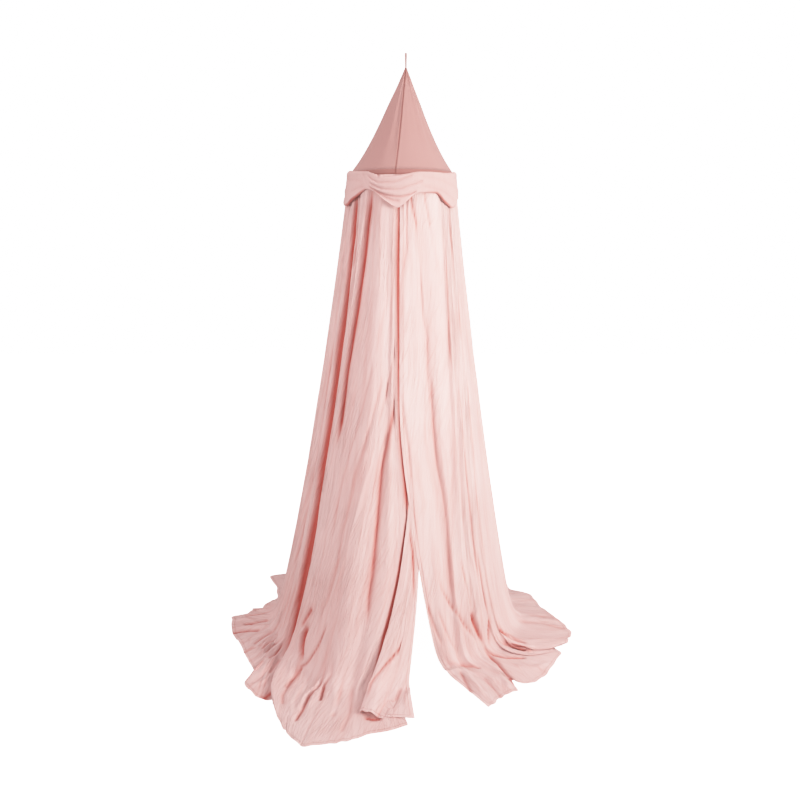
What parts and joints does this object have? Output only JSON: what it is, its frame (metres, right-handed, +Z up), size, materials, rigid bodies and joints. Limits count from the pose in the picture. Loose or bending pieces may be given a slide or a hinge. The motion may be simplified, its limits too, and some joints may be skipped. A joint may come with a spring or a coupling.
{
  "type": "bed canopy with hoop",
  "caption": "Cone-topped cotton bed canopy hung over a hoop, with a swagged band and a long skirt that opens at the front and spreads on the floor.",
  "frame": {"origin": "top of the hanging loop, on its middle line", "axes": "+Z up, -Y out of the front opening, +X to the viewer's right; the floor is at z = -2.472 m"},
  "size_m": [1.5387, 1.6576, 2.4725],
  "materials": {
    "tape": "flat woven cotton tape",
    "cotton_shaded": "washed plain-weave cotton",
    "cotton": "washed plain-weave cotton, softly crinkled",
    "wire": "white plastic coating"
  },
  "bodies": {
    "root": {"hanging_loop": "tape", "cone_top": "cotton_shaded", "hoop": "wire", "band": "cotton", "skirt": "cotton"}
  },
  "joints": []
}
